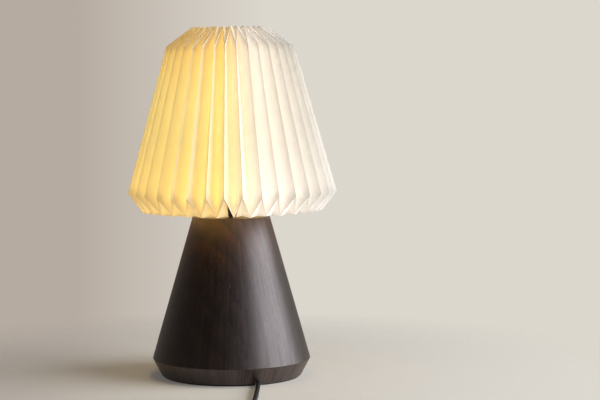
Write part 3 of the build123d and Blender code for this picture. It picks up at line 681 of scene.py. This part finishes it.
def thicken(bm):
    """Gives the sheet its thickness inwards, mitred at the folds, with a rim along the free edges."""
    bm.normal_update()
    bm.verts.index_update()
    outer = list(bm.verts)
    faces = list(bm.faces)
    free = [edge for edge in bm.edges if edge.is_boundary]
    inner = []
    for vert in outer:
        normals = [face.normal for face in vert.link_faces]
        mean = sum(normals, Vector()).normalized()
        steep = min(max(mean.dot(n), LEAST_MITRE) for n in normals)
        inner.append(bm.verts.new(vert.co - mean * PAPER_T / steep))
    for face in faces:
        bm.faces.new([inner[v.index] for v in reversed(face.verts)]).material_index = INSIDE_MATERIAL
    for edge in free:
        loop = edge.link_loops[0]
        a, b = loop.vert, loop.link_loop_next.vert
        bm.faces.new((b, a, inner[a.index], inner[b.index]))


def mark_folds_and_paint_glow(bm):
    """Writes at each point if it is on a fold, how level it is with the bulb, and the glow painted on it."""
    crease, glow, near, day = (bm.verts.layers.float.new(name) for name in ("crease", "glow", "near", "day"))
    bm.normal_update()
    window = Vector(WINDOW_WAY)
    for vert in bm.verts:
        bend = max((e.calc_face_angle(0.0) for e in vert.link_edges if len(e.link_faces) == 2), default=0.0)
        vert[crease] = 1.0 if bend > math.radians(CREASE_DEG) else 0.0
        away = vert.co - Vector(BULB_CENTRE)
        flat = Vector((away.x, away.y, 0)).normalized()
        facing = away.normalized().dot(flat)
        vert[near] = facing**2
        # painted daylight: where the paper faces the window its glow dims and whitens
        daylit = max(0.0, flat.dot(window))
        vert[day] = min(1.0, max(0.0, daylit - DAY_STARTS) / DAY_GROWS)
        low = max(0.0, BULB_CENTRE[2] - vert.co.z) / GLOW_LOW_REACH
        shaded = max(0.0, -flat.dot(window))
        strength = GLOW_LEVEL + GLOW_FACING * facing**2 + GLOW_LOW * low**2 + GLOW_SHADED * shaded
        vert[glow] = strength * (1 - daylit**3 * WINDOW_DIMS)


def paper_shade():
    bm = paper_skin()
    thicken(bm)
    mark_folds_and_paint_glow(bm)
    mesh = bpy.data.meshes.new("folded_paper_shade")
    bm.to_mesh(mesh)
    bm.free()
    lean = Matrix.Translation((0, 0, LEAN_PIVOT_Z)) @ Matrix.Rotation(math.radians(-LEAN_DEG), 4, "Y")
    mesh.transform(lean @ Matrix.Translation((0, 0, -LEAN_PIVOT_Z)))
    mesh.shade_smooth()
    mesh.set_sharp_from_angle(angle=math.radians(SMOOTH_DEG))
    mesh.materials.append(LOOKS["paper"])
    mesh.materials.append(LOOKS["paper_inside"])
    made = link(bpy.data.objects.new("folded_paper_shade", mesh))
    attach(made, "shade")
    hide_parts("paper_shade")


# --- room ------------------------------------------------------------------------------------------------
def shown_rays(tree, mirrored_share=1.0):
    """1 for the camera's rays, and a share of it for mirrored and refracted ones."""
    path = node(tree, "ShaderNodeLightPath")
    mirrored = maths(tree, "MAXIMUM", path.outputs["Is Glossy Ray"], path.outputs["Is Transmission Ray"])
    mirrored = maths(tree, "MULTIPLY", mirrored, mirrored_share)
    return maths(tree, "MAXIMUM", path.outputs["Is Camera Ray"], mirrored)


def floor_look():
    """A pale floor that keeps shadows, fades out into the backdrop and is clear from below."""
    made, tree = new_look("studio_floor")
    flat = node(tree, "ShaderNodeVectorMath", {0: own_place(tree)}, operation="LENGTH").outputs["Value"]
    lit = node(tree, "ShaderNodeBsdfDiffuse", {"Color": rgb(FLOOR_COLOUR)})
    shown = node(tree, "ShaderNodeEmission", {
        "Color": rgb(FLOOR_COLOUR), "Strength": maths(tree, "MULTIPLY", shown_rays(tree), FLOOR_GLOW),
    })
    shader = node(tree, "ShaderNodeAddShader", {0: lit.outputs[0], 1: shown.outputs[0]})
    under = node(tree, "ShaderNodeNewGeometry").outputs["Backfacing"]
    away = maths(tree, "MAXIMUM", spread(tree, flat, *FLOOR_FADE), under)
    output(tree, mix_shaders(tree, away, shader, node(tree, "ShaderNodeBsdfTransparent")))
    return made


def floor():
    mesh = bpy.data.meshes.new("studio_floor")
    bm = bmesh.new()
    bmesh.ops.create_circle(bm, cap_ends=True, segments=96, radius=FLOOR_R)
    bm.to_mesh(mesh)
    bm.free()
    mesh.materials.append(floor_look())
    made = link(bpy.data.objects.new("studio_floor", mesh))
    made.location.z = FLOOR_Z


def world():
    """A pale backdrop, darker towards the left as painted shade, fainter in reflections, and a low, even
    light on the object.
    """
    made = bpy.data.worlds.new("studio")
    bpy.context.scene.world = made
    made.use_nodes = True
    tree = made.node_tree
    tree.nodes.clear()
    way = node(tree, "ShaderNodeTexCoord").outputs["Generated"]
    parts = node(tree, "ShaderNodeSeparateXYZ", {0: way})
    mirrored_share = spread(tree, parts.outputs[1], -0.15, 0.6, 0.05, 0.45)
    ambient = tuple(c * AMBIENT for c in AMBIENT_TINT)
    wall = blend(tree, spread(tree, parts.outputs[0], *WALL_BLEND), WALL_LEFT, WALL_RIGHT)
    colour = blend(tree, shown_rays(tree, mirrored_share), ambient, wall)
    back = node(tree, "ShaderNodeBackground", {"Color": colour, "Strength": 1.0})
    node(tree, "ShaderNodeOutputWorld", {"Surface": back.outputs[0]})


# --- lights and camera -----------------------------------------------------------------------------------
def window_light():
    """Soft daylight from the right."""
    data = bpy.data.lights.new("window", "AREA")
    data.shape = "RECTANGLE"
    data.size, data.size_y = WINDOW_SIZE
    data.energy = WINDOW_WATTS
    data.color = WINDOW_COLOUR
    made = link(bpy.data.objects.new("window", data))
    turn = math.radians(WINDOW_AZIMUTH)
    made.location = (WINDOW_AWAY * math.sin(turn), -WINDOW_AWAY * math.cos(turn), WINDOW_UP)
    made.rotation_euler = (Vector(WINDOW_AIM) - made.location).to_track_quat("-Z", "Y").to_euler()
    made.visible_camera = False


def bulb_light():
    data = bpy.data.lights.new("bulb_light", "POINT")
    data.energy = BULB_WATTS
    data.color = BULB_COLOUR
    data.shadow_soft_size = BULB_LIGHT_R
    made = link(bpy.data.objects.new("bulb_light", data))
    made.location = BULB_CENTRE
    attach(made, "bulb")


def camera():
    data = bpy.data.cameras.new("camera")
    data.lens = CAMERA_LENS
    data.sensor_width = CAMERA_SENSOR
    made = link(bpy.data.objects.new("camera", data))
    made.location = CAMERA_AT
    made.rotation_euler = (math.radians(90 - CAMERA_DOWN_DEG), 0, 0)
    bpy.context.scene.camera = made


camera()
cords()
dress_nodes()
paper_shade()
floor()
world()
window_light()
bulb_light()
bpy.context.scene.view_settings.view_transform = "Standard"
